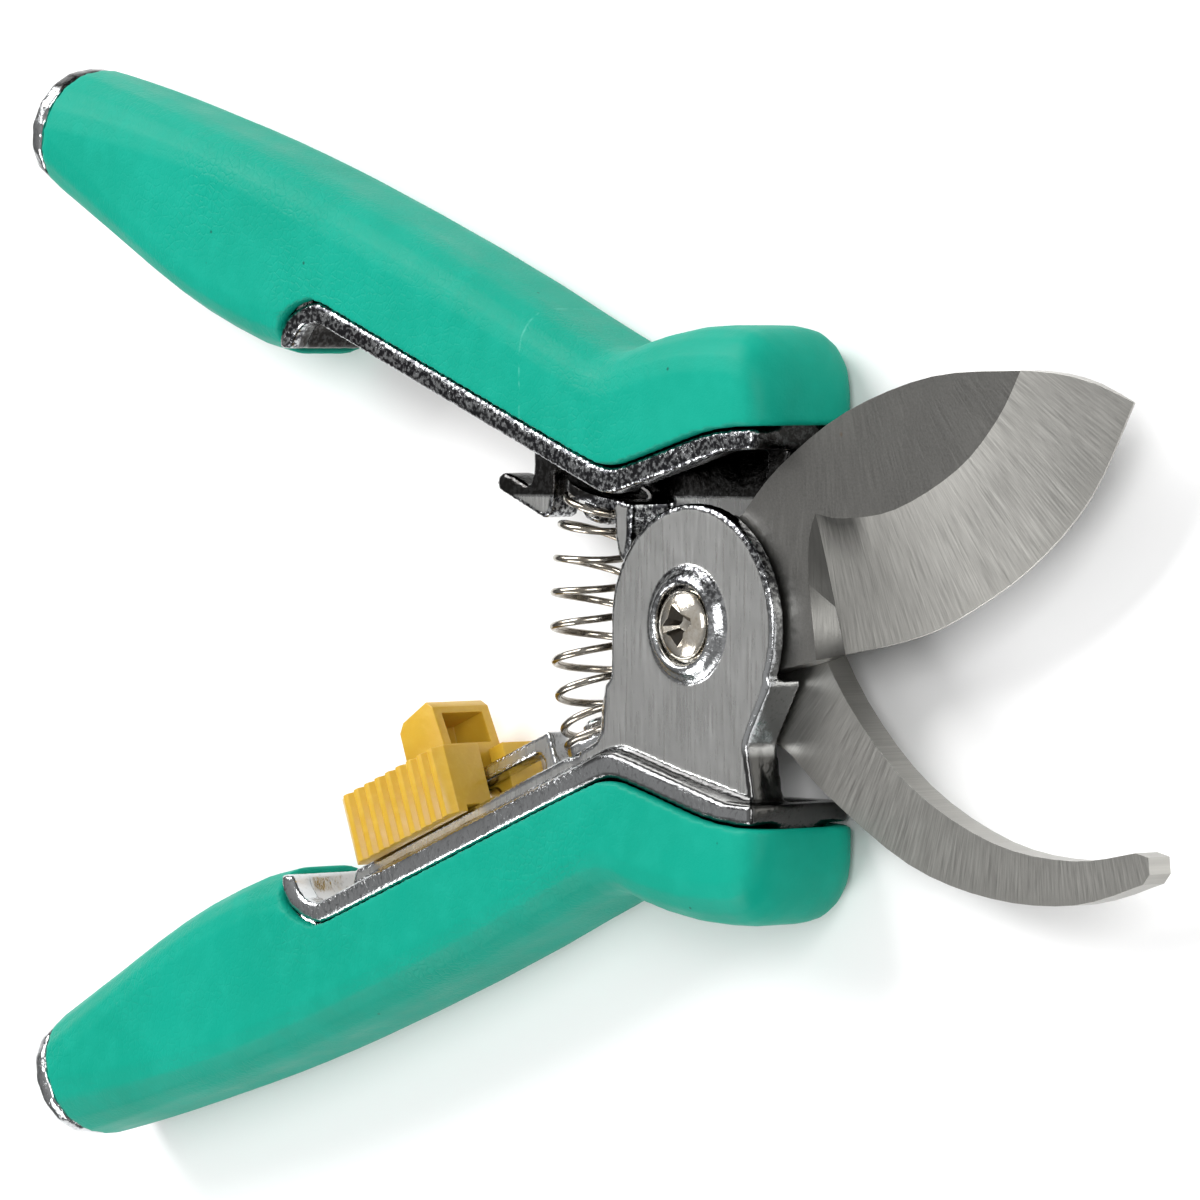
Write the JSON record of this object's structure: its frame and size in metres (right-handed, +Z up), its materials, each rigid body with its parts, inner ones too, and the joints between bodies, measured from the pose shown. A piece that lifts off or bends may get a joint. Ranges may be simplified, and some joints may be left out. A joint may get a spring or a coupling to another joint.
{
  "type": "pruning shears",
  "caption": "Bypass pruning shears with a wide bevelled cutting blade, a curved counter blade, chromed castings in moulded grips, an open return spring and a sliding lock.",
  "frame": {"origin": "middle of the open tool's footprint, on the surface that the flat of the grips rests on", "axes": "+X to the blade tips, +Y to the handle with the counter blade, +Z up, out of the screw's head"},
  "size_m": [0.1878, 0.1302, 0.016],
  "materials": {
    "chrome_casting": "chrome plating on a die casting, pitted along the rims",
    "grip_vinyl": "mint green moulded vinyl with a fine grain",
    "blade_steel": "satin ground steel, brushed across the bevel",
    "nickel": "bright nickel plate",
    "spring_wire": "nickel plated spring wire",
    "bronze": "plain bronze",
    "lock_plastic": "warm yellow moulded plastic"
  },
  "bodies": {
    "lower_body": {"lower_handle_casting": "chrome_casting", "lower_grip": "grip_vinyl", "cutting_blade": "blade_steel", "pivot_screw": "nickel", "pivot_sleeve": "nickel", "pivot_nut": "nickel", "screw_washer": "nickel", "nut_washer": "nickel", "friction_washer": "bronze", "blade_key_pin": "nickel", "lower_spring_seat": "chrome_casting", "return_spring": "spring_wire"},
    "upper_body": {"upper_handle_casting": "chrome_casting", "upper_grip": "grip_vinyl", "counter_blade": "blade_steel", "counter_blade_key_pin": "nickel", "upper_spring_seat": "chrome_casting"},
    "lock_body": {"lock_slider_front": "lock_plastic", "lock_slider_back": "lock_plastic", "lock_pin_front": "nickel", "lock_pin_rear": "nickel"}
  },
  "joints": [
    {"name": "handles", "type": "hinge", "parent": "lower_body", "child": "upper_body", "pos_m": [0.02628, 0, 0.008], "axis": [0, 0, 1], "range_deg": [0, 38], "stiffness_Nm_per_rad": 1, "springref_deg": -22.92, "deforming": ["return_spring"]},
    {"name": "lock_slide", "type": "slide", "parent": "lower_body", "child": "lock_body", "axis": [0.9348, 0.3551, 0], "range_m": [0, 0.0115]}
  ]
}
